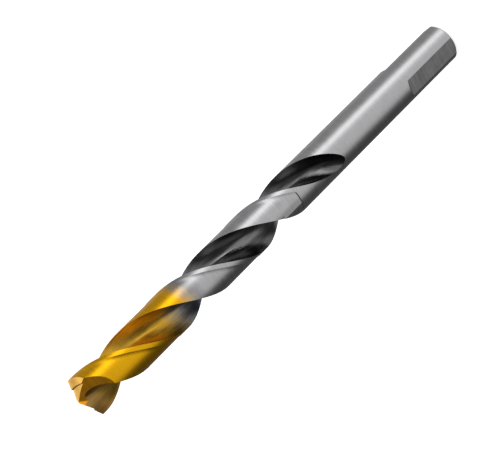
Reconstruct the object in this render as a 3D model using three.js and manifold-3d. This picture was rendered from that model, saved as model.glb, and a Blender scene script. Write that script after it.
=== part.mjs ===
// Twist drill with two right-hand flutes, a stepped point with a web-thinning facet behind each lip,
// and a shank with three drive flats.
// Millimetres. +Z runs along the drill, from the centre of the shank's end face (z = 0) to the tip.

import * as THREE from 'three';
import { mergeVertices } from 'three/addons/utils/BufferGeometryUtils.js';
import Module from 'manifold-3d';

const wasm = await Module();
wasm.setup();

// Driving dimensions
const OVERALL_LENGTH = 142;
const DRILL_DIAMETER = 11.5;
const FLUTE_LENGTH = 94;
const FLUTE_PITCH = 59.2;
const SHANK_DIAMETER = 11.3;

// Shank
const WELD_HEIGHT = 45;
const SHANK_CHAMFER = 0.5;
const FLAT_COUNT = 3;
const FLAT_LENGTH = 19.35;
const FLAT_DEPTH = 0.53;
const FLAT_RAMP_LENGTH = 0.75;
const FIRST_FLAT_ANGLE = -90;

// Fluted part
const CORNER_HEIGHT = 140;
const CORNER_ANGLE = 43.4;
const FLUTE_ARC = 91.4;
const WEB_RADIUS = 0.95;
const LIP_OFFSET = 0.86;
const RUN_OUT_LENGTH = 17;
const RETREAT_ARC = 62;

// Points that shape a flute's cross-section, as shares of the drill's radius [along the lip, ahead of it]
const FACE_CONTROL = [0.5, 0.02];
const FLUTE_FLOOR = [0.07, 0.15];
const BACK_LOW = [-0.145, 0.215];
const BACK_HIGH = [-0.29, 0.56];

// Land
const MARGIN_ARC = 13;
const CLEARANCE_DEPTH = 0.14;
const CLEARANCE_FILLET = 1.2;
const CLEARANCE_END_HEIGHT = 65.5;
const UNCLEARED_ANGLE = -97.2;
const UNCLEARED_HEIGHT = 72.2;
const UNCLEARED_ARC = 60;

// Point
const COATED_LENGTH = 35.5;
const POINT_SLOPE = 0.385;
const PILOT_SLOPE = 0.49;
const PILOT_APEX_HEIGHT = 142.2;
const PILOT_RADIUS = 3.2;
const PILOT_STEP_SLANT = 1;
const RELIEF_AT_LIP = 0.2;
const RELIEF_GROWTH = 0.057;
const MEAN_RELIEF = 0.33;
const GASH_HEIGHT_AT_AXIS = 141.6;
const GASH_SLOPE = 1.367;
const GASH_FALL_ANGLE = -80.2;
const GASH_LIP_OFFSET = 0.2;
const GASH_LIP_TURN = 28;

// Fineness of the curved faces
const ROUND_SEGMENTS = 60;
const STEP_ANGLE = 9;
const CURVE_SEGMENTS = 7;
const RELIEF_SEGMENTS = 8;
const FILLET_SEGMENTS = 3;

// How far the cutting tools reach past the surface of the drill
const OVERREACH = 1.25;
const CLEAR_HEIGHT = 2;

const drillRadius = DRILL_DIAMETER / 2;
const shankRadius = SHANK_DIAMETER / 2;
const cutterRadius = drillRadius * OVERREACH;
const fluteEndHeight = OVERALL_LENGTH - FLUTE_LENGTH;
const coatingHeight = OVERALL_LENGTH - COATED_LENGTH;
const cutterTop = OVERALL_LENGTH + CLEAR_HEIGHT;
const lipAngle = CORNER_ANGLE - degrees(Math.asin(LIP_OFFSET / drillRadius));

function radians(angle) {
  return angle * Math.PI / 180;
}

function degrees(angle) {
  return angle * 180 / Math.PI;
}

function polar(radius, angle) {
  return new THREE.Vector2(radius * Math.cos(radians(angle)), radius * Math.sin(radians(angle)));
}

// Angle that the flutes turn through between the corners and a height.
function twistAt(height) {
  return (height - CORNER_HEIGHT) * 360 / FLUTE_PITCH;
}

// Radius of the drill at a height: full size at the corners, the shank's size where the flutes end.
function bodyRadius(height) {
  const share = (height - fluteEndHeight) / (CORNER_HEIGHT - fluteEndHeight);
  return shankRadius + (drillRadius - shankRadius) * Math.min(Math.max(share, 0), 1);
}

function toSolid(geometry) {
  const bare = geometry.index ? geometry.toNonIndexed() : geometry;
  bare.deleteAttribute('normal');
  bare.deleteAttribute('uv');
  const welded = mergeVertices(bare, 1e-4);
  return new wasm.Manifold(new wasm.Mesh({
    numProp: 3,
    vertProperties: new Float32Array(welded.attributes.position.array),
    triVerts: new Uint32Array(welded.index.array),
  }));
}

function toGeometry(solid) {
  const mesh = solid.getMesh();
  const geometry = new THREE.BufferGeometry();
  geometry.setAttribute('position', new THREE.BufferAttribute(mesh.vertProperties, 3));
  geometry.setIndex(new THREE.BufferAttribute(mesh.triVerts, 1));
  geometry.computeVertexNormals();
  return geometry;
}

// A round body: the profile is a list of [radius, height] pairs that starts and ends on the axis.
function turned(profile) {
  const points = profile.map(([radius, height]) => new THREE.Vector2(radius, height));
  const geometry = new THREE.LatheGeometry(points, ROUND_SEGMENTS);
  geometry.rotateX(Math.PI / 2);
  return toSolid(geometry);
}

// A slab between two heights, wider than the drill.
function slab(low, high) {
  const width = cutterRadius * 3;
  const geometry = new THREE.BoxGeometry(width, width, high - low);
  geometry.translate(0, 0, (low + high) / 2);
  return toSolid(geometry);
}

// Sweeps a cross-section up the drill while it turns with the flutes. The section is drawn as it lies
// in the plane of the corners, and moveAt changes one of its points for a height.
function helicalSweep(shape, low, high, moveAt) {
  const steps = Math.ceil((high - low) * 360 / FLUTE_PITCH / STEP_ANGLE);
  const geometry = new THREE.ExtrudeGeometry(shape, {
    depth: high - low,
    steps,
    bevelEnabled: false,
    curveSegments: CURVE_SEGMENTS,
  });
  geometry.translate(0, 0, low);
  const position = geometry.attributes.position;
  const centre = new THREE.Vector2();
  for (let i = 0; i < position.count; i += 1) {
    const height = position.getZ(i);
    const point = new THREE.Vector2(position.getX(i), position.getY(i));
    moveAt(point, height);
    point.rotateAround(centre, radians(twistAt(height)));
    position.setXY(i, point.x, point.y);
  }
  return toSolid(geometry);
}

// Adds an arc about the axis to a shape as short straight sides.
function addArc(shape, radius, from, to) {
  const sides = Math.ceil(Math.abs(to - from) / STEP_ANGLE);
  for (let i = 0; i <= sides; i += 1) {
    const point = polar(radius, from + (to - from) * i / sides);
    shape.lineTo(point.x, point.y);
  }
}

// Cross-section of one flute: a hollow cutting face from the corner to the web, a back face that leads on
// smoothly from it up to the heel, and an arc outside the drill.
function fluteSection(cornerAngle) {
  const lip = radians(cornerAngle - degrees(Math.asin(LIP_OFFSET / drillRadius)));
  const centre = new THREE.Vector2();
  const place = ([along, ahead]) => {
    const point = new THREE.Vector2(along, ahead).multiplyScalar(drillRadius);
    return point.rotateAround(centre, lip);
  };
  const corner = polar(drillRadius, cornerAngle);
  const faceControl = place(FACE_CONTROL);
  const floor = place(FLUTE_FLOOR).setLength(WEB_RADIUS);
  const backLow = place(BACK_LOW);
  const backHigh = place(BACK_HIGH);
  const heel = polar(drillRadius, cornerAngle + FLUTE_ARC);
  const shape = new THREE.Shape();
  shape.moveTo(corner.x, corner.y);
  shape.quadraticCurveTo(faceControl.x, faceControl.y, floor.x, floor.y);
  shape.bezierCurveTo(backLow.x, backLow.y, backHigh.x, backHigh.y, heel.x, heel.y);
  addArc(shape, cutterRadius, cornerAngle + FLUTE_ARC, cornerAngle);
  shape.closePath();
  return shape;
}

// How far the grinding wheel has backed out of the flute: an arc up to the surface at the flute's end.
function wheelRetreat(height) {
  const depth = drillRadius - WEB_RADIUS;
  const wheelRadius = (RUN_OUT_LENGTH ** 2 + depth ** 2) / (2 * depth);
  const before = Math.max(fluteEndHeight + RUN_OUT_LENGTH - height, 0);
  return wheelRadius - Math.sqrt(wheelRadius ** 2 - before ** 2);
}

function fluteCutter(side) {
  const corner = CORNER_ANGLE + 180 * side;
  const backOut = (point, height) => point.add(polar(wheelRetreat(height), corner + RETREAT_ARC));
  return helicalSweep(fluteSection(corner), fluteEndHeight - 1, cutterTop, backOut);
}

// Body clearance: a thin layer from the margin to the heel, with a fillet beside the margin. It ends in an
// abrupt shoulder, and the last stretch next to the heel is left at full size there.
function clearanceCutter(side) {
  const marginEdge = CORNER_ANGLE + 180 * side - MARGIN_ARC;
  const filletEnd = marginEdge - degrees(CLEARANCE_FILLET / drillRadius);
  const pastHeel = marginEdge - (180 - FLUTE_ARC);
  const shape = new THREE.Shape();
  const start = polar(cutterRadius, marginEdge);
  shape.moveTo(start.x, start.y);
  for (let i = 0; i < FILLET_SEGMENTS; i += 1) {
    const share = i / FILLET_SEGMENTS;
    const depth = CLEARANCE_DEPTH * (1 - (1 - share) ** 2);
    const point = polar(drillRadius - depth, marginEdge + (filletEnd - marginEdge) * share);
    shape.lineTo(point.x, point.y);
  }
  addArc(shape, drillRadius - CLEARANCE_DEPTH, filletEnd, pastHeel);
  addArc(shape, cutterRadius, pastHeel, marginEdge);
  const followTaper = (point, height) => point.setLength(point.length() + bodyRadius(height) - drillRadius);
  const cutter = helicalSweep(shape, CLEARANCE_END_HEIGHT, cutterTop, followTaper);
  return cutter.subtract(unclearedStrip(side));
}

// What the body clearance leaves standing beside the heel. A flat leads from it down to the cleared land.
function unclearedStrip(side) {
  const edge = UNCLEARED_ANGLE + 180 * side;
  const full = bodyRadius(UNCLEARED_HEIGHT);
  const cleared = full - CLEARANCE_DEPTH;
  const far = cutterRadius * OVERREACH;
  const flatAngle = edge + degrees(Math.acos(cleared / full));
  const foot = polar(cleared, flatAngle);
  const shape = new THREE.Shape();
  shape.moveTo(0, 0);
  addArc(shape, far, edge - UNCLEARED_ARC, flatAngle - degrees(Math.acos(cleared / far)));
  shape.lineTo(foot.x, foot.y);
  shape.closePath();
  const depth = UNCLEARED_HEIGHT - CLEARANCE_END_HEIGHT + 1;
  const wedge = new THREE.ExtrudeGeometry(shape, { depth, bevelEnabled: false });
  wedge.translate(0, 0, CLEARANCE_END_HEIGHT - 1);
  return toSolid(wedge);
}

// One side of the point. The profile is a curve [distance behind the lip, drop below the lip], swept
// along the sloping lip between two distances from the axis. The outer end leans outwards by slant.
function flankCutter(side, heightAtAxis, slope, inner, outer, slant) {
  const reach = drillRadius * 2 * OVERREACH;
  const front = LIP_OFFSET + cutterRadius;
  const shape = new THREE.Shape();
  shape.moveTo(front, 0);
  for (let i = 0; i <= RELIEF_SEGMENTS; i += 1) {
    const behind = reach * i / RELIEF_SEGMENTS;
    shape.lineTo(LIP_OFFSET - behind, -RELIEF_AT_LIP * behind - RELIEF_GROWTH * behind ** 2);
  }
  shape.lineTo(LIP_OFFSET - reach, cutterRadius);
  shape.lineTo(front, cutterRadius);
  shape.closePath();
  const geometry = new THREE.ExtrudeGeometry(shape, { depth: outer - inner, bevelEnabled: false });
  // The shape's x becomes the cutting direction (y), its y becomes the height, and depth runs along the lip.
  const swap = new THREE.Matrix4().makeBasis(
    new THREE.Vector3(0, 1, 0),
    new THREE.Vector3(0, 0, 1),
    new THREE.Vector3(1, 0, 0),
  );
  geometry.applyMatrix4(swap);
  const position = geometry.attributes.position;
  for (let i = 0; i < position.count; i += 1) {
    const along = position.getX(i);
    const aboveRelief = position.getZ(i) + MEAN_RELIEF * (LIP_OFFSET - position.getY(i));
    position.setX(i, inner + along + slant * aboveRelief * along / (outer - inner));
  }
  const shear = new THREE.Matrix4().set(1, 0, 0, 0, 0, 1, 0, 0, -slope, 0, 1, heightAtAxis, 0, 0, 0, 1);
  geometry.applyMatrix4(shear);
  geometry.rotateZ(radians(lipAngle + 180 * side));
  return toSolid(geometry);
}

// The facet that thins the web: it falls steeply from the chisel edge to the heel, and stops short of the
// other lip.
function gashCutter(side) {
  const size = drillRadius * 4;
  const block = new THREE.BoxGeometry(size, size, size);
  block.translate(0, 0, size / 2);
  const tilt = new THREE.Matrix4().makeRotationY(Math.atan(GASH_SLOPE));
  block.applyMatrix4(tilt);
  block.rotateZ(radians(GASH_FALL_ANGLE + 180 * side));
  block.translate(0, 0, GASH_HEIGHT_AT_AXIS);
  const front = new THREE.BoxGeometry(size, size, size);
  front.translate(0, -size / 2, 0);
  front.rotateZ(radians(GASH_LIP_TURN));
  front.translate(0, -GASH_LIP_OFFSET, OVERALL_LENGTH);
  front.rotateZ(radians(lipAngle + 180 * side));
  return toSolid(block).intersect(toSolid(front));
}

function shankFlatCutter(index) {
  const width = SHANK_DIAMETER;
  const face = shankRadius - FLAT_DEPTH;
  const out = shankRadius + 1;
  const rampEnd = FLAT_LENGTH + FLAT_RAMP_LENGTH * (out - face) / FLAT_DEPTH;
  const shape = new THREE.Shape();
  shape.moveTo(face, -1);
  shape.lineTo(out, -1);
  shape.lineTo(out, rampEnd);
  shape.lineTo(face, FLAT_LENGTH);
  shape.closePath();
  const geometry = new THREE.ExtrudeGeometry(shape, { depth: width, bevelEnabled: false });
  geometry.translate(0, 0, -width / 2);
  geometry.rotateX(Math.PI / 2);
  geometry.rotateZ(radians(FIRST_FLAT_ANGLE + index * 360 / FLAT_COUNT));
  return toSolid(geometry);
}

function buildBlank() {
  return turned([
    [0, 0],
    [shankRadius - SHANK_CHAMFER, 0],
    [shankRadius, SHANK_CHAMFER],
    [shankRadius, fluteEndHeight],
    [drillRadius, CORNER_HEIGHT],
    [drillRadius, OVERALL_LENGTH],
    [0, OVERALL_LENGTH],
  ]);
}

function buildDrill() {
  let drill = buildBlank();
  for (const side of [0, 1]) {
    drill = drill.subtract(fluteCutter(side));
    drill = drill.subtract(clearanceCutter(side));
  }
  for (let index = 0; index < FLAT_COUNT; index += 1) {
    drill = drill.subtract(shankFlatCutter(index));
  }
  const cornerDistance = Math.sqrt(drillRadius ** 2 - LIP_OFFSET ** 2);
  const lipHeightAtAxis = CORNER_HEIGHT + cornerDistance * POINT_SLOPE;
  for (const side of [0, 1]) {
    const outerFlank = flankCutter(side, lipHeightAtAxis, POINT_SLOPE, PILOT_RADIUS / 2, cutterRadius, 0);
    const pilotFlank = flankCutter(
      side,
      PILOT_APEX_HEIGHT,
      PILOT_SLOPE,
      -PILOT_RADIUS,
      PILOT_RADIUS,
      PILOT_STEP_SLANT,
    );
    drill = drill.subtract(outerFlank);
    drill = drill.subtract(pilotFlank);
    drill = drill.subtract(gashCutter(side));
  }
  return drill;
}

function namedMesh(name, solid, color, roughness) {
  const material = new THREE.MeshStandardMaterial({ color, roughness, metalness: 1 });
  const mesh = new THREE.Mesh(toGeometry(solid), material);
  mesh.name = name;
  return mesh;
}

const drill = buildDrill();
const shank = drill.intersect(slab(-1, WELD_HEIGHT));
const flutedBody = drill.intersect(slab(WELD_HEIGHT, coatingHeight));
const coatedPoint = drill.intersect(slab(coatingHeight, OVERALL_LENGTH + 1));

const twistDrill = new THREE.Group();
twistDrill.add(namedMesh('shank', shank, 0xb9bcc0, 0.3));
twistDrill.add(namedMesh('fluted_body', flutedBody, 0xb4b6b9, 0.28));
twistDrill.add(namedMesh('coated_point', coatedPoint, 0xd9a520, 0.3));

export default twistDrill;
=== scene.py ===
"""A twist drill in ground steel, with a gold nitride coating on its cutting end."""

import math

import bmesh
import bpy
import numpy as np
from mathutils import Matrix, Quaternion, Vector


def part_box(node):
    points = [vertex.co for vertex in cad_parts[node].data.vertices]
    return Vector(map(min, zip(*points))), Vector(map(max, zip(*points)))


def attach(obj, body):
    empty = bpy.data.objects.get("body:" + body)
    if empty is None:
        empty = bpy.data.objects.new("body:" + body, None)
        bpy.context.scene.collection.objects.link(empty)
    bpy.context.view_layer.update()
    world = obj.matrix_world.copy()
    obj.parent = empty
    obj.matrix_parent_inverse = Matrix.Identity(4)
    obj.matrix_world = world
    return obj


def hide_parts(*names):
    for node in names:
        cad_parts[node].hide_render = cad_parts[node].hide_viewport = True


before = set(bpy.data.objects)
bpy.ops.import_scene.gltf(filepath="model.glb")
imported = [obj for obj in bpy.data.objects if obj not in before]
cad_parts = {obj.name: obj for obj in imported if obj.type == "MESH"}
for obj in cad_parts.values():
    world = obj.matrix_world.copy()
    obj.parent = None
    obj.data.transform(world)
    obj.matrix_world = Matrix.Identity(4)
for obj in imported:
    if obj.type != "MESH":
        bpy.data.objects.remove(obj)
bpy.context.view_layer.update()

MM = 0.001

# ---------------------------------------------------------------- sizes in millimetres, angles in degrees
overall_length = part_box("coated_point")[1].z / MM
coating_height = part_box("coated_point")[0].z / MM
weld_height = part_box("shank")[1].z / MM
shank_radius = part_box("shank")[1].y / MM
DRILL_RADIUS = 5.75
FLUTE_LENGTH = 94.0
FLUTE_PITCH = 59.2

# Shank
SHANK_CHAMFER = 0.5
FLAT_LENGTH = 19.35
FLAT_DEPTH = 0.53
FLAT_RAMP_LENGTH = 0.75
FLAT_ANGLES = (-90, 30, 150)

# Flutes
CORNER_HEIGHT = 140.0
CORNER_ANGLE = 43.4
FLUTE_ARC = 91.4
WEB_RADIUS = 0.95
LIP_OFFSET = 0.86
RUN_OUT_LENGTH = 17.0
RETREAT_ARC = 62.0

# Points that shape a flute's cross-section, as shares of the drill's radius (along the lip, ahead of it)
FACE_CONTROL = (0.5, 0.02)
FLUTE_FLOOR = (0.07, 0.15)
BACK_LOW = (-0.145, 0.215)
BACK_HIGH = (-0.29, 0.56)

# Land
MARGIN_ARC = 13.0
CLEARANCE_DEPTH = 0.14
CLEARANCE_FILLET = 1.2
CLEARANCE_RAMP_LENGTH = 0.25
CLEARANCE_END_HEIGHT = 65.5
UNCLEARED_ANGLE = -97.2
UNCLEARED_HEIGHT = 72.2

# Point
POINT_SLOPE = 0.385
PILOT_SLOPE = 0.49
PILOT_APEX_HEIGHT = 142.2
PILOT_RADIUS = 3.2
PILOT_STEP_SLANT = 1.0
RELIEF_AT_LIP = 0.2
RELIEF_GROWTH = 0.057
MEAN_RELIEF = 0.33
GASH_HEIGHT_AT_AXIS = 141.6
GASH_SLOPE = 1.367
GASH_FALL_ANGLE = -80.2
GASH_LIP_OFFSET = 0.2
GASH_LIP_TURN = 28.0

# The tip is ground a little short of the nominal length, which is a whole number.
nominal_length = round(overall_length)
flute_end = nominal_length - FLUTE_LENGTH
lip_angle = CORNER_ANGLE - math.degrees(math.asin(LIP_OFFSET / DRILL_RADIUS))

# How far curves and cutters reach past the finished surface
CURVE_OVERREACH = 3.0
OVERREACH = 1.0
FLANK_CUTTER_HEIGHT = 8.0

# The same for the point's cutters, in drill radii
FLANK_CUTTER_FRONT = 1.2
FLANK_CUTTER_SIDE = 1.3
FLANK_CUTTER_BACK = 2.4
GASH_BLOCK_SIZE = 4.0

# ---------------------------------------------------------------- fineness
STATION_STEP = 0.4
STATIONS_ABOVE_FLUTE_END = (0, 0.01, 0.04, 0.1, 0.2, 0.33, 0.5, 0.7)
ABRUPT_STEP = 0.01
SEARCH_DEPTH = 3.0
SEARCH_TOLERANCE = 1e-4
CURVE_SAMPLES = 500
FACE_POINTS = 40
BACK_POINTS = 44
HEEL_POINTS = 8
RISE_POINTS = 8
LAND_POINTS = 20
FILLET_POINTS = 10
MARGIN_POINTS = 7
RELIEF_POINTS = 40
SHANK_SEGMENTS = 256
SHARP_ANGLE = 11

# The heel's points spread over an arc that grows with height, or over a share of a land that isn't cleared.
HEEL_ARC = 12.0
HEEL_ARC_GROWTH = 8.0
HEEL_SHARE = 0.2

# In metres
MERGE_DISTANCE = 1e-7
SHORTEST_EDGE = 1e-8


def polar(radius, angle):
    return np.array([radius * math.cos(math.radians(angle)), radius * math.sin(math.radians(angle))])


def polar_points(radii, angles):
    directions = np.radians(angles)
    return np.column_stack([radii * np.cos(directions), radii * np.sin(directions)])


def turn(points, angle):
    c = math.cos(math.radians(angle))
    s = math.sin(math.radians(angle))
    return points @ np.array([[c, s], [-s, c]])


def angle_of(point):
    return math.degrees(math.atan2(point[1], point[0]))


# ---------------------------------------------------------------- cross-section of the fluted part
def twist_at(height):
    return (height - CORNER_HEIGHT) * 360 / FLUTE_PITCH


def body_radius(height):
    """The back taper: full size at the corners, and down to the shank's size where the flutes end."""
    return np.interp(height, [flute_end, CORNER_HEIGHT], [shank_radius, DRILL_RADIUS])


def bezier(controls, count):
    t = np.linspace(0, 1, count)[:, None]
    points = [np.repeat(np.array(p, float)[None, :], count, axis=0) for p in controls]
    while len(points) > 1:
        points = [a * (1 - t) + b * t for a, b in zip(points, points[1:])]
    return points[0]


def in_lip_frame(share):
    return turn(DRILL_RADIUS * np.array([share]), lip_angle)[0]


def beyond(end, before):
    """A point past a curve's end, in the direction that the curve runs there."""
    return end + (end - before) / np.linalg.norm(end - before) * CURVE_OVERREACH


def flute_curves():
    """The cutting face from outside the corner to the floor, and the back face from there past the heel."""
    corner = polar(DRILL_RADIUS, CORNER_ANGLE)
    heel = polar(DRILL_RADIUS, CORNER_ANGLE + FLUTE_ARC)
    floor = in_lip_frame(FLUTE_FLOOR)
    face = bezier([corner, in_lip_frame(FACE_CONTROL), floor], CURVE_SAMPLES)
    back = bezier([floor, in_lip_frame(BACK_LOW), in_lip_frame(BACK_HIGH), heel], CURVE_SAMPLES)
    face = np.vstack([beyond(face[0], face[1]), face])
    back = np.vstack([back, beyond(back[-1], back[-2])])
    return face, back


FACE, BACK = flute_curves()


def wheel_retreat(height):
    """How far the grinding wheel has moved out of the bar, along an arc, at a height in the run-out."""
    depth = DRILL_RADIUS - WEB_RADIUS
    wheel = (RUN_OUT_LENGTH**2 + depth**2) / (2 * depth)
    before = max(flute_end + RUN_OUT_LENGTH - height, 0)
    return wheel - math.sqrt(wheel**2 - before**2)


def crossing(curve, distances, radius, before):
    """The place where a curve crosses a circle, between the point numbered before and the one after it."""
    after = before + 1
    share = (radius - distances[before]) / (distances[after] - distances[before])
    return curve[before] + share * (curve[after] - curve[before])


def inside_part(curve, radius, count):
    """The stretch of a curve inside a circle, resampled evenly by length. None if there is none."""
    distances = np.hypot(curve[:, 0], curve[:, 1])
    inside = np.nonzero(distances < radius)[0]
    if len(inside) == 0:
        return None
    first, last = inside[0], inside[-1]
    points = curve[first : last + 1]
    if first > 0:
        points = np.vstack([crossing(curve, distances, radius, first - 1), points])
    if last < len(curve) - 1:
        points = np.vstack([points, crossing(curve, distances, radius, last)])
    along = np.concatenate([[0], np.cumsum(np.hypot(*np.diff(points, axis=0).T))])
    wanted = np.linspace(0, along[-1], count)
    return np.column_stack([np.interp(wanted, along, points[:, i]) for i in (0, 1)])


def flute_at(height, radius, heel_radius):
    """The two faces of a flute inside the land circle, or None where the wheel has left the bar."""
    shift = polar(wheel_retreat(height), CORNER_ANGLE + RETREAT_ARC)
    face = inside_part(FACE + shift, radius, FACE_POINTS)
    back = inside_part(BACK + shift, heel_radius, BACK_POINTS)
    if face is None and back is None:
        return None
    if face is None:
        face = np.repeat(back[:1], FACE_POINTS, axis=0)
    if back is None:
        back = np.repeat(face[-1:], BACK_POINTS, axis=0)
    return face, back


def lowest_flute_height():
    """Where the flute leaves the bar, found by halving the range of heights that it can be in."""
    low = flute_end - SEARCH_DEPTH
    high = flute_end + RUN_OUT_LENGTH
    while high - low > SEARCH_TOLERANCE:
        middle = (low + high) / 2
        if flute_at(middle, body_radius(middle), body_radius(middle)) is None:
            low = middle
        else:
            high = middle
    return high


LOWEST_FLUTE_HEIGHT = lowest_flute_height()


def onto_circle(points, radius):
    return points / np.hypot(points[:, 0], points[:, 1])[:, None] * radius


def flute_outline(height, outer, heel_radius):
    """The faces of the flute at a height. Below the flute's end they lie on the surface of the bar."""
    if height > LOWEST_FLUTE_HEIGHT:
        return flute_at(height, outer, heel_radius)
    radius = body_radius(LOWEST_FLUTE_HEIGHT)
    face, back = flute_at(LOWEST_FLUTE_HEIGHT, radius, radius)
    return onto_circle(face, outer), onto_circle(back, outer)


def heel_strip_end(height, heel, margin, cleared, heel_cleared):
    """The angle where the strip beside the heel ends. Only a strip left at full size shows in the shape."""
    if heel_cleared:
        return heel + HEEL_ARC * min((height - UNCLEARED_HEIGHT) / HEEL_ARC_GROWTH, 1)
    if cleared:
        line = UNCLEARED_ANGLE - twist_at(height)
        return line + 180 * round(((heel + margin) / 2 - line) / 180)
    return heel + (margin - heel) * HEEL_SHARE


def half_flat(outer):
    """The angle between the middle of a flat at the clearance depth and its edge on the outer circle."""
    return math.degrees(math.acos(1 - CLEARANCE_DEPTH / outer))


def clearance_depth(angles, outer, line, margin, strip_left):
    """How deep the land is ground: a fillet beside the margin, and a flat rise to any strip left uncut."""
    from_margin = np.radians(margin - angles) * outer
    depth = CLEARANCE_DEPTH * (1 - np.clip(1 - from_margin / CLEARANCE_FILLET, 0, 1) ** 2)
    if strip_left:
        turned_by = np.clip(line + half_flat(outer) - angles, 0, half_flat(outer))
        flat = outer - (outer - CLEARANCE_DEPTH) / np.cos(np.radians(turned_by))
        depth = np.minimum(depth, np.maximum(flat, 0))
    return depth


def half_section(height, cleared, heel_cleared):
    """Half of the outline at a height, from one leading corner to the next, before the flutes' twist."""
    outer = body_radius(height)
    heel_radius = outer - CLEARANCE_DEPTH if heel_cleared else outer
    face, back = flute_outline(height, outer, heel_radius)
    heel = angle_of(back[-1])
    next_corner = angle_of(face[0]) + 180
    while heel < next_corner - 180:
        heel += 360
    margin = next_corner - MARGIN_ARC
    line = heel_strip_end(height, heel, margin, cleared, heel_cleared)
    fillet_start = margin - math.degrees(CLEARANCE_FILLET / outer)
    stops = (heel, line, line + half_flat(outer), fillet_start, margin)
    counts = (HEEL_POINTS, RISE_POINTS, LAND_POINTS, FILLET_POINTS)
    stretches = zip(stops, stops[1:], counts)
    angles = np.concatenate([np.linspace(start, end, count)[1:] for start, end, count in stretches])
    radii = np.full(len(angles), outer)
    strip_left = cleared and not heel_cleared
    if cleared:
        radii = outer - clearance_depth(angles, outer, line, margin, strip_left)
    if strip_left:
        radii[: HEEL_POINTS - 1] = outer
    rim = polar_points(outer, np.linspace(margin, next_corner, MARGIN_POINTS)[1:-1])
    return np.vstack([face, back[1:], polar_points(radii, angles), rim])


def ring(height, cleared, heel_cleared):
    half = half_section(height, cleared, heel_cleared)
    outline = turn(np.vstack([half, -half]), twist_at(height))
    return np.column_stack([outline, np.full(len(outline), height)])


def stations(low, high):
    """(height, cleared, heel cleared) for each ring, with both sides of each abrupt change."""
    count = max(2, int(round((high - low) / STATION_STEP)) + 1)
    heights = list(np.linspace(low, high, count))
    if low < LOWEST_FLUTE_HEIGHT < high:
        heights += [LOWEST_FLUTE_HEIGHT + above for above in STATIONS_ABOVE_FLUTE_END]
    ramp_end = CLEARANCE_END_HEIGHT + CLEARANCE_RAMP_LENGTH
    off_ramp = [height for height in heights if not CLEARANCE_END_HEIGHT < height < ramp_end]
    made = [(height, height > CLEARANCE_END_HEIGHT, height > UNCLEARED_HEIGHT) for height in off_ramp]
    if low < CLEARANCE_END_HEIGHT < high:
        made.append((CLEARANCE_END_HEIGHT, False, False))
        made.append((ramp_end, True, False))
        made.append((UNCLEARED_HEIGHT, True, False))
        made.append((UNCLEARED_HEIGHT + ABRUPT_STEP, True, True))
    return sorted(made)


# ---------------------------------------------------------------- meshes
def new_mesh(name, points, faces):
    """An object from points in millimetres."""
    mesh = bpy.data.meshes.new(name)
    mesh.from_pydata((np.array(points) * MM).tolist(), [], faces)
    piece = bpy.data.objects.new(name, mesh)
    bpy.context.scene.collection.objects.link(piece)
    return piece


def loft(name, low, high):
    """One closed mesh of the fluted part between two heights. The flutes have a material of their own, with
    painted shade.
    """
    rings = np.array([ring(*station) for station in stations(low, high)])
    count, around = rings.shape[0], rings.shape[1]
    index = np.arange(count * around).reshape(count, around)
    after = np.roll(index, -1, axis=1)
    sides = np.stack([index[:-1], after[:-1], after[1:], index[1:]], axis=-1).reshape(-1, 4)
    faces = sides.tolist() + [index[0][::-1].tolist(), index[-1].tolist()]
    piece = new_mesh(name, rings.reshape(-1, 3), faces)
    piece.data.materials.append(LAND_METAL)
    piece.data.materials.append(FLUTE_METAL_PAINTED_SHADE)
    flute_faces = FACE_POINTS + BACK_POINTS - 2
    in_flute = np.tile(np.arange(around) % (around // 2) < flute_faces, count - 1)
    piece.data.polygons.foreach_set("material_index", [int(f) for f in in_flute] + [0, 0])
    return piece


def turned(name, profile, segments):
    """A round body from (radius, height) pairs that start and end on the axis."""
    points = [(0, 0, profile[0][1])]
    for radius, height in profile[1:-1]:
        points += [(*polar(radius, 360 * i / segments), height) for i in range(segments)]
    points.append((0, 0, profile[-1][1]))
    bottom, top = 0, len(points) - 1
    levels = [range(first, first + segments) for first in range(1, top, segments)]
    around = [(i, (i + 1) % segments) for i in range(segments)]
    faces = [[bottom, levels[0][j], levels[0][i]] for i, j in around]
    for low, high in zip(levels, levels[1:]):
        faces += [[low[i], low[j], high[j], high[i]] for i, j in around]
    faces += [[levels[-1][i], levels[-1][j], top] for i, j in around]
    return new_mesh(name, points, faces)


def prism(name, outline, depth):
    """An outline in x and z, extruded both ways along y."""
    count = len(outline)
    points = [(x, side * depth / 2, z) for side in (-1, 1) for x, z in outline]
    faces = [list(range(count)), list(range(2 * count - 1, count - 1, -1))]
    faces += [[(i + 1) % count, i, i + count, (i + 1) % count + count] for i in range(count)]
    return new_mesh(name, points, faces)


def block(size, centre):
    half = size / 2
    cutter = prism("block", [(-half, -half), (half, -half), (half, half), (-half, half)], size)
    cutter.data.transform(Matrix.Translation(Vector(centre) * MM))
    return cutter


def fix_normals(piece):
    """Merges points that coincide, and turns every face outwards."""
    work = bmesh.new()
    work.from_mesh(piece.data)
    bmesh.ops.remove_doubles(work, verts=work.verts, dist=MERGE_DISTANCE)
    bmesh.ops.dissolve_degenerate(work, edges=work.edges, dist=SHORTEST_EDGE)
    bmesh.ops.recalc_face_normals(work, faces=work.faces)
    work.to_mesh(piece.data)
    work.free()


def cut(piece, cutters):
    """Takes the cutters away from the piece, and removes them."""
    for cutter in cutters:
        fix_normals(cutter)
        modifier = piece.modifiers.new("cut", "BOOLEAN")
        modifier.operation = "DIFFERENCE"
        modifier.solver = "EXACT"
        modifier.material_mode = "TRANSFER"
        modifier.object = cutter
        graph = bpy.context.evaluated_depsgraph_get()
        mesh = bpy.data.meshes.new_from_object(piece.evaluated_get(graph))
        piece.modifiers.clear()
        piece.data = mesh
        bpy.data.objects.remove(cutter)


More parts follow.
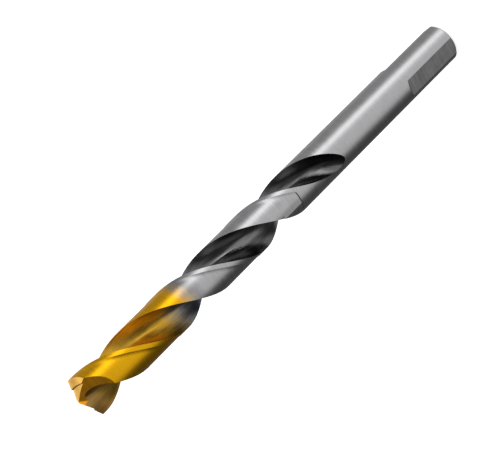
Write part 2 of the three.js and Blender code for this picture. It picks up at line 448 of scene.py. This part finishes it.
def finish_mesh(piece):
    """Smooth shading, with crisp edges between the ground faces."""
    fix_normals(piece)
    for polygon in piece.data.polygons:
        polygon.use_smooth = True
    piece.data.set_sharp_from_angle(angle=math.radians(SHARP_ANGLE))


# ---------------------------------------------------------------- shank
def flat_cutter(angle):
    face = shank_radius - FLAT_DEPTH
    out = shank_radius + OVERREACH
    ramp_end = FLAT_LENGTH + FLAT_RAMP_LENGTH * (out - face) / FLAT_DEPTH
    outline = [(face, -OVERREACH), (out, -OVERREACH), (out, ramp_end), (face, FLAT_LENGTH)]
    cutter = prism("flat_cutter", outline, 2 * shank_radius)
    cutter.data.transform(Matrix.Rotation(math.radians(angle), 4, "Z"))
    cutter.data.materials.append(FLAT_STEEL)
    return cutter


def make_shank():
    """The plain shank. A ring of points just above the flats keeps the wall above them whole."""
    above_flats = FLAT_LENGTH + 2 * OVERREACH
    profile = [
        (0, 0),
        (shank_radius - SHANK_CHAMFER, 0),
        (shank_radius, SHANK_CHAMFER),
        (shank_radius, above_flats),
        (shank_radius, weld_height),
        (0, weld_height),
    ]
    piece = turned("shank_ground", profile, SHANK_SEGMENTS)
    piece.data.materials.append(SHANK_STEEL)
    cut(piece, [flat_cutter(angle) for angle in FLAT_ANGLES])
    finish_mesh(piece)
    return piece


# ---------------------------------------------------------------- fluted body
def make_body():
    piece = loft("body_ground", weld_height, coating_height)
    finish_mesh(piece)
    return piece


# ---------------------------------------------------------------- point
def flank_cutter(side, lip_height, slope, inner, outer, slant=0):
    """The space above one side of the point: a relief curve behind the lip, swept along the sloping lip."""
    reach = DRILL_RADIUS * FLANK_CUTTER_BACK
    front = LIP_OFFSET + DRILL_RADIUS * FLANK_CUTTER_FRONT
    behind = np.linspace(0, reach, RELIEF_POINTS)
    outline = [(front, 0)]
    outline += [(LIP_OFFSET - b, -RELIEF_AT_LIP * b - RELIEF_GROWTH * b**2) for b in behind]
    outline += [(LIP_OFFSET - reach, FLANK_CUTTER_HEIGHT), (front, FLANK_CUTTER_HEIGHT)]
    cutter = prism("flank_cutter", outline, outer - inner)
    cutter.data.transform(Matrix.Rotation(math.radians(90), 4, "Z"))

    # The outer end leans outwards by the slant, and every point follows the slope of the lip.
    for vertex in cutter.data.vertices:
        if vertex.co.x > 0:
            behind_lip = LIP_OFFSET * MM - vertex.co.y
            vertex.co.x += slant * (vertex.co.z + MEAN_RELIEF * behind_lip)
        vertex.co.x += (inner + outer) / 2 * MM
        vertex.co.z += lip_height * MM - slope * vertex.co.x
    cutter.data.transform(Matrix.Rotation(math.radians(lip_angle + 180 * side), 4, "Z"))
    cutter.data.materials.append(FACE_METAL)
    return cutter


def outer_flank_cutter(side):
    """Its inner end lies in the space that the pilot's cutter takes away too."""
    corner_distance = math.sqrt(DRILL_RADIUS**2 - LIP_OFFSET**2)
    lip_height = CORNER_HEIGHT + corner_distance * POINT_SLOPE
    return flank_cutter(side, lip_height, POINT_SLOPE, PILOT_RADIUS / 2, DRILL_RADIUS * FLANK_CUTTER_SIDE)


def pilot_flank_cutter(side):
    reach = (-PILOT_RADIUS, PILOT_RADIUS)
    return flank_cutter(side, PILOT_APEX_HEIGHT, PILOT_SLOPE, *reach, slant=PILOT_STEP_SLANT)


def gash_cutter(side):
    """A notch that thins the web. Its wall is behind one lip's flank, and ends short of the other lip."""
    size = DRILL_RADIUS * GASH_BLOCK_SIZE
    wedge = block(size, (0, 0, size / 2))
    wedge.data.transform(Matrix.Rotation(math.atan(GASH_SLOPE), 4, "Y"))
    wedge.data.transform(Matrix.Rotation(math.radians(GASH_FALL_ANGLE + 180 * side), 4, "Z"))
    wedge.data.transform(Matrix.Translation((0, 0, GASH_HEIGHT_AT_AXIS * MM)))
    keep = block(size, (0, size / 2, 0))
    keep.data.transform(Matrix.Rotation(math.radians(GASH_LIP_TURN), 4, "Z"))
    keep.data.transform(Matrix.Translation(Vector((0, -GASH_LIP_OFFSET, overall_length)) * MM))
    keep.data.transform(Matrix.Rotation(math.radians(lip_angle + 180 * side), 4, "Z"))
    cut(wedge, [keep])
    wedge.data.materials.clear()
    wedge.data.materials.append(GASH_METAL)
    return wedge


def make_point():
    piece = loft("point_ground", coating_height, overall_length + OVERREACH)
    fix_normals(piece)
    cutters = []
    for side in (0, 1):
        cutters += [outer_flank_cutter(side), pilot_flank_cutter(side), gash_cutter(side)]
    cut(piece, cutters)
    finish_mesh(piece)
    return piece


# ---------------------------------------------------------------- materials
class Graph:
    """Adds shader nodes to a tree: inputs that are sockets are linked, and the others are set."""

    def __init__(self, tree):
        self.tree = tree

    def add(self, kind, inputs=None, **settings):
        node = self.tree.nodes.new(kind)
        for name, value in settings.items():
            setattr(node, name, value)
        for name, value in (inputs or {}).items():
            self.put(node.inputs[name], value)
        return node

    def put(self, socket, value):
        if isinstance(value, bpy.types.NodeSocket):
            self.tree.links.new(value, socket)
        else:
            socket.default_value = value

    def math(self, operation, *values):
        node = self.add("ShaderNodeMath", operation=operation)
        for socket, value in zip(node.inputs, values):
            self.put(socket, value)
        return node.outputs[0]

    def scaled(self, vector, factor):
        node = self.add("ShaderNodeVectorMath", {0: vector, 3: factor}, operation="SCALE")
        return node.outputs[0]

    def height(self, position):
        return self.add("ShaderNodeSeparateXYZ", {0: position}).outputs["Z"]

    def ramp(self, factor, stops):
        node = self.add("ShaderNodeValToRGB", {"Fac": factor})
        elements = node.color_ramp.elements
        while len(elements) < len(stops):
            elements.new(0.5)
        for element, (position, colour) in zip(elements, stops):
            element.position = position
            element.color = (*colour, 1)
        return node.outputs["Color"]

    def mix(self, factor, first, second):
        """A mix of two colours. The node's sockets share their names, so they are put in by number."""
        node = self.add("ShaderNodeMix", data_type="RGBA")
        self.put(node.inputs[0], factor)
        self.put(node.inputs[6], first)
        self.put(node.inputs[7], second)
        return node.outputs[2]


def grey(value):
    return (value, value, value)


STEEL = (0.54, 0.54, 0.55)
FLAT_GREY = (0.48, 0.48, 0.49)
# The flutes' bare steel is much darker than the lands': painted shade for the deep trough of each flute.
FLUTE_STEEL_PAINTED_SHADE = (0.215, 0.215, 0.218)
GOLD = (1.0, 0.505, 0.01)
GASH_GOLD = (1.0, 0.43, 0.02)
FACE_GOLD = (0.88, 0.50, 0.11)
FLUTE_GOLD = (0.78, 0.45, 0.05)

# (height, colour) along the drill. Bare steel turns into gold through grey and bronze.
LAND_COLOURS = (
    (101.5, STEEL),
    (103.6, (0.39, 0.39, 0.40)),
    (104.8, (0.42, 0.38, 0.34)),
    (105.9, (0.60, 0.46, 0.28)),
    (107.1, (0.86, 0.50, 0.12)),
    (108.4, GOLD),
)

# A flute is darker where it runs out, and near the tip: painted shade. Between them its colour goes from
# bare steel through blue and bronze to gold at the coating's border.
FLUTE_COLOURS_AND_PAINTED_SHADE = (
    (50.0, (0.13, 0.13, 0.132)),
    (62.0, FLUTE_STEEL_PAINTED_SHADE),
    (99.0, FLUTE_STEEL_PAINTED_SHADE),
    (104.0, (0.16, 0.19, 0.25)),
    (107.5, (0.30, 0.28, 0.25)),
    (111.0, (0.50, 0.36, 0.17)),
    (114.0, FLUTE_GOLD),
    (132.0, FLUTE_GOLD),
    (139.0, (0.46, 0.27, 0.08)),
)

# The border of the coating leans to one side, and wanders by up to this many millimetres.
COATING_LEAN = (-0.12, -0.08, 1.0)
COATING_WANDER = 3.0

# Between these heights a flute goes from its bare roughness to its coated one.
COATING_BORDER = (103.0, 112.0)

# How fast the grinding marks and the blotches vary along each axis, in changes per millimetre.
ALONG_FINE = (6, 6, 0.15)
ALONG_BROAD = (1.6, 1.6, 0.05)
AROUND_FINE = (0.35, 0.35, 8)
AROUND_BROAD = (0.1, 0.1, 2.2)
BLOTCHES = (0.5, 0.5, 0.35)
MARK_DETAIL = 4
BLOTCH_DETAIL = 6

# The range of roughness in the broad marks and in the blotches
MARK_ROUGHNESS = 0.14
BLOTCH_ROUGHNESS = 0.1

# The broad marks' depth as a share of the fine ones'
BROAD_MARK_SHARE = 0.5
NOISE_MEAN = 0.5


def noise(graph, position, scales, detail):
    """Noise between 0 and 1, stretched by a scale for each axis."""
    stretched = graph.add("ShaderNodeVectorMath", {0: position, 1: scales}, operation="MULTIPLY")
    inputs = {"Vector": stretched.outputs[0], "Scale": 1.0, "Detail": detail}
    return graph.add("ShaderNodeTexNoise", inputs).outputs["Fac"]


def untwisted(graph, position):
    """The position turned back by the flutes' twist, so that a line along a flute has fixed x and y."""
    angle = graph.math("MULTIPLY", graph.height(position), -2 * math.pi / FLUTE_PITCH)
    inputs = {"Vector": position, "Angle": angle}
    return graph.add("ShaderNodeVectorRotate", inputs, rotation_type="Z_AXIS").outputs[0]


def fading_colour(graph, position, blotches, colours):
    """The colour at a height along the drill, from (height, colour) stops."""
    leaning = graph.add("ShaderNodeVectorMath", {0: position, 1: COATING_LEAN}, operation="DOT_PRODUCT")
    wandering = graph.math("MULTIPLY_ADD", blotches, COATING_WANDER, leaning.outputs["Value"])
    low, high = colours[0][0], colours[-1][0]
    middle = COATING_WANDER * NOISE_MEAN
    limits = {"From Min": low + middle, "From Max": high + middle}
    share = graph.add("ShaderNodeMapRange", {"Value": wandering, **limits})
    stops = [((height - low) / (high - low), colour) for height, colour in colours]
    return graph.ramp(share.outputs[0], stops)


def fading_roughness(graph, position, bare, coated):
    """The roughness at a height along the drill, from bare metal to coated metal."""
    low, high = COATING_BORDER
    limits = {"From Min": low, "From Max": high, "To Min": bare, "To Max": coated}
    return graph.add("ShaderNodeMapRange", {"Value": graph.height(position), **limits}).outputs[0]


def ground_metal(
    name,
    contrast,
    colour=STEEL,
    colours=None,
    roughness=0.26,
    coated_roughness=None,
    mark_depth=0.006,
    along=False,
):
    """Metal with grinding marks around the axis or along the flutes. Its colour can change with height."""
    material = bpy.data.materials.new(name)
    material.use_nodes = True
    shader = material.node_tree.nodes["Principled BSDF"]
    shader.inputs["Metallic"].default_value = 1
    graph = Graph(material.node_tree)
    place = graph.scaled(graph.add("ShaderNodeTexCoord").outputs["Object"], 1 / MM)
    mark_place = untwisted(graph, place) if along else place
    fine_marks = noise(graph, mark_place, ALONG_FINE if along else AROUND_FINE, MARK_DETAIL)
    broad_marks = noise(graph, mark_place, ALONG_BROAD if along else AROUND_BROAD, MARK_DETAIL)
    blotches = noise(graph, place, BLOTCHES, BLOTCH_DETAIL)

    if colours:
        colour = fading_colour(graph, place, blotches, colours)
    tone = 1 - 3 * NOISE_MEAN * contrast
    for variation in (fine_marks, broad_marks, blotches):
        tone = graph.math("MULTIPLY_ADD", variation, contrast, tone)
    graph.put(shader.inputs["Base Color"], graph.scaled(colour, tone))

    if coated_roughness:
        roughness = fading_roughness(graph, place, roughness, coated_roughness)
    rough = graph.math("MULTIPLY_ADD", broad_marks, MARK_ROUGHNESS, roughness)
    rough = graph.math("MULTIPLY_ADD", blotches, BLOTCH_ROUGHNESS, rough)
    mean_variation = NOISE_MEAN * (MARK_ROUGHNESS + BLOTCH_ROUGHNESS)
    graph.put(shader.inputs["Roughness"], graph.math("SUBTRACT", rough, mean_variation))

    relief = graph.math("MULTIPLY_ADD", broad_marks, BROAD_MARK_SHARE, fine_marks)
    bumped = graph.add("ShaderNodeBump", {"Height": relief, "Strength": 1.0, "Distance": mark_depth * MM})
    graph.put(shader.inputs["Normal"], bumped.outputs[0])
    return material


SHANK_STEEL = ground_metal("shank_steel_ground", 0.22)
LAND_METAL = ground_metal("land_metal_ground", 0.35, colours=LAND_COLOURS)
# The flutes' metal carries painted shade: dark steel in the trough, and darker still where the flute runs
# out and near the tip.
FLUTE_METAL_PAINTED_SHADE = ground_metal(
    "flute_metal_ground_painted_shade",
    0.8,
    colours=FLUTE_COLOURS_AND_PAINTED_SHADE,
    roughness=0.17,
    coated_roughness=0.36,
    mark_depth=0.02,
    along=True,
)
FACE_METAL = ground_metal("point_face_ground", 0.5, colour=FACE_GOLD, roughness=0.3)
GASH_METAL = ground_metal("gash_face_ground", 0.5, colour=GASH_GOLD, roughness=0.34)
FLAT_STEEL = ground_metal("drive_flat_ground", 0.6, colour=FLAT_GREY, roughness=0.34)


# ---------------------------------------------------------------- pieces
for piece, node, slot in (
    (make_shank(), "shank", "shank_steel"),
    (make_body(), "fluted_body", "body_steel"),
    (make_point(), "coated_point", "gold_coating"),
):
    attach(piece, "root")
    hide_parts(node)


# ---------------------------------------------------------------- floor
FLOOR_REACH = 3000.0
FLOOR_HEIGHT = -1.0
FLOOR_GREY = 0.9
FLOOR_GLOW = 0.8


def make_floor():
    """A pale floor that lights itself, so that it stays even, and that the metal doesn't mirror."""
    corners = ((-1, -1), (1, -1), (1, 1), (-1, 1))
    points = [(x * FLOOR_REACH, y * FLOOR_REACH, FLOOR_HEIGHT) for x, y in corners]
    floor = new_mesh("floor", points, [[0, 1, 2, 3]])
    material = bpy.data.materials.new("pale_floor")
    material.use_nodes = True
    shader = material.node_tree.nodes["Principled BSDF"]
    shader.inputs["Base Color"].default_value = (*grey(FLOOR_GREY), 1)
    shader.inputs["Roughness"].default_value = 1
    shader.inputs["Emission Color"].default_value = (1, 1, 1, 1)
    shader.inputs["Emission Strength"].default_value = FLOOR_GLOW
    floor.data.materials.append(material)
    floor.visible_glossy = False


make_floor()


# ---------------------------------------------------------------- camera
CAMERA_PLACE = (215.914, -310.66, 250.759)
CAMERA_TARGET = (1.17, 0.81, 78.35)
CAMERA_ROLL = -134.91
LENS = 119.52
SENSOR_WIDTH = 36.0

# In metres
NEAREST_VIEW = 0.01
FARTHEST_VIEW = 20.0


def make_camera():
    """The photo's view: the drill runs from its tip, low on the left, up to its shank on the right."""
    data = bpy.data.cameras.new("camera")
    data.sensor_width = SENSOR_WIDTH
    data.lens = LENS
    data.clip_start = NEAREST_VIEW
    data.clip_end = FARTHEST_VIEW
    camera = bpy.data.objects.new("camera", data)
    bpy.context.scene.collection.objects.link(camera)
    line_of_sight = Vector(CAMERA_TARGET) - Vector(CAMERA_PLACE)
    roll = Quaternion((0, 0, 1), math.radians(CAMERA_ROLL))
    rotation = line_of_sight.to_track_quat("-Z", "Y") @ roll
    camera.matrix_world = Matrix.LocRotScale(Vector(CAMERA_PLACE) * MM, rotation, None)
    bpy.context.scene.camera = camera


make_camera()


# ---------------------------------------------------------------- light
# The surroundings, as bands of elevation in degrees. Each band has (bearing, level) panels around it.
STUDIO_LEVEL = 1.11
NADIR_PANELS = ((-180, 0.42), (180, 0.42))
BELOW_TABLE_PANELS = (
    (-180, 0.06),
    (-140, 0.06),
    (-107, 0.12),
    (-85, 0.3),
    (-55, 0.4),
    (-20, 0.2),
    (60, 0.2),
    (130, 0.3),
    (160, 0.5),
    (180, 0.06),
)
TABLE_PANELS = (
    (-180, 0.07),
    (-150, 0.07),
    (-128, 0.16),
    (-112, 0.50),
    (-95, 0.68),
    (-45, 0.74),
    (-30, 0.98),
    (-20, 1.5),
    (-5, 1.45),
    (8, 0.6),
    (22, 0.34),
    (60, 0.30),
    (90, 0.42),
    (110, 0.28),
    (130, 0.13),
    (180, 0.07),
)
HORIZON_PANELS = (
    (-180, 0.08),
    (-150, 0.07),
    (-110, 0.06),
    (-60, 0.08),
    (-38, 0.1),
    (-28, 0.4),
    (-5, 0.6),
    (20, 0.35),
    (60, 0.45),
    (120, 0.3),
    (150, 0.08),
    (180, 0.08),
)
UPPER_PANELS = (
    (-180, 0.012),
    (-80, 0.015),
    (-68, 0.06),
    (-45, 0.32),
    (-20, 0.6),
    (40, 0.9),
    (75, 1.1),
    (115, 1.0),
    (140, 0.2),
    (165, 0.02),
    (180, 0.012),
)
CEILING_PANELS = (
    (-180, 0.08),
    (-135, 0.1),
    (-108, 0.13),
    (-92, 0.5),
    (-60, 0.95),
    (30, 1.1),
    (62, 1),
    (90, 0.5),
    (130, 0.3),
    (180, 0.08),
)

# Each band of panels starts to show at the first elevation, and is all there is from the second one up.
BANDS = (
    ((-70, -60), BELOW_TABLE_PANELS),
    ((-46, -38), TABLE_PANELS),
    ((-14, -8), HORIZON_PANELS),
    ((8, 17), UPPER_PANELS),
    ((32, 44), CEILING_PANELS),
)


def make_studio():
    """Soft surroundings: bands from below the table up to the ceiling, each with light and dark panels."""
    world = bpy.data.worlds.new("studio")
    bpy.context.scene.world = world
    world.use_nodes = True
    graph = Graph(world.node_tree)
    direction = graph.add("ShaderNodeTexCoord").outputs["Generated"]
    parts = graph.add("ShaderNodeSeparateXYZ", {0: direction}).outputs
    bearing = graph.math("ARCTAN2", parts["Y"], parts["X"])
    elevation = graph.math("ARCSINE", parts["Z"])

    # Both angles as shares of their whole range, for the ramps
    around = graph.math("MULTIPLY_ADD", bearing, 0.5 / math.pi, 0.5)
    upwards = graph.math("MULTIPLY_ADD", elevation, 1 / math.pi, 0.5)

    def panels_around(panels):
        return graph.ramp(around, [(degrees / 360 + 0.5, grey(level)) for degrees, level in panels])

    colour = panels_around(NADIR_PANELS)
    for (start, end), panels in BANDS:
        share = graph.ramp(upwards, [(start / 180 + 0.5, grey(0)), (end / 180 + 0.5, grey(1))])
        colour = graph.mix(share, colour, panels_around(panels))
    background = world.node_tree.nodes["Background"]
    graph.put(background.inputs["Color"], colour)
    background.inputs["Strength"].default_value = STUDIO_LEVEL


make_studio()
bpy.context.scene.view_settings.view_transform = "Standard"
